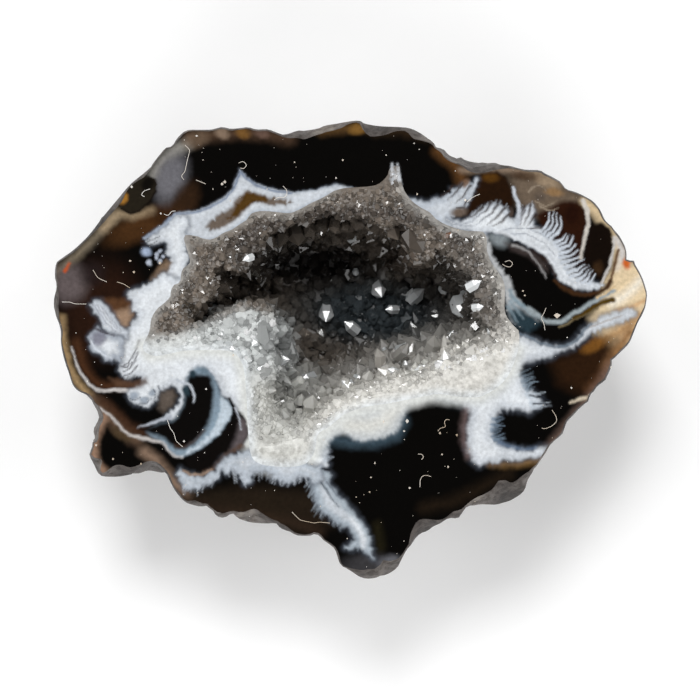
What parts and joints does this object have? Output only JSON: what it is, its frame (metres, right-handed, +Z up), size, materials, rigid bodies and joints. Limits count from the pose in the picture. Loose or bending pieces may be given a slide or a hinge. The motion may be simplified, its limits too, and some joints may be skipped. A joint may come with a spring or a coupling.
{
  "type": "geode half",
  "caption": "Half of a small agate geode lying on its back, with a flat polished banded face and a hollow lined with quartz crystals.",
  "frame": {"origin": "under the middle of the stone, on the flat patch of the underside that it rests on", "axes": "+X along the stone's length, +Y across it towards the straighter long edge, +Z up out of the cut face"},
  "size_m": [0.0595, 0.046, 0.023],
  "materials": {
    "agate": "polished",
    "quartz": "gloss"
  },
  "bodies": {
    "root": {"agate_shell": "agate", "crystal_crust": "quartz"}
  },
  "joints": []
}
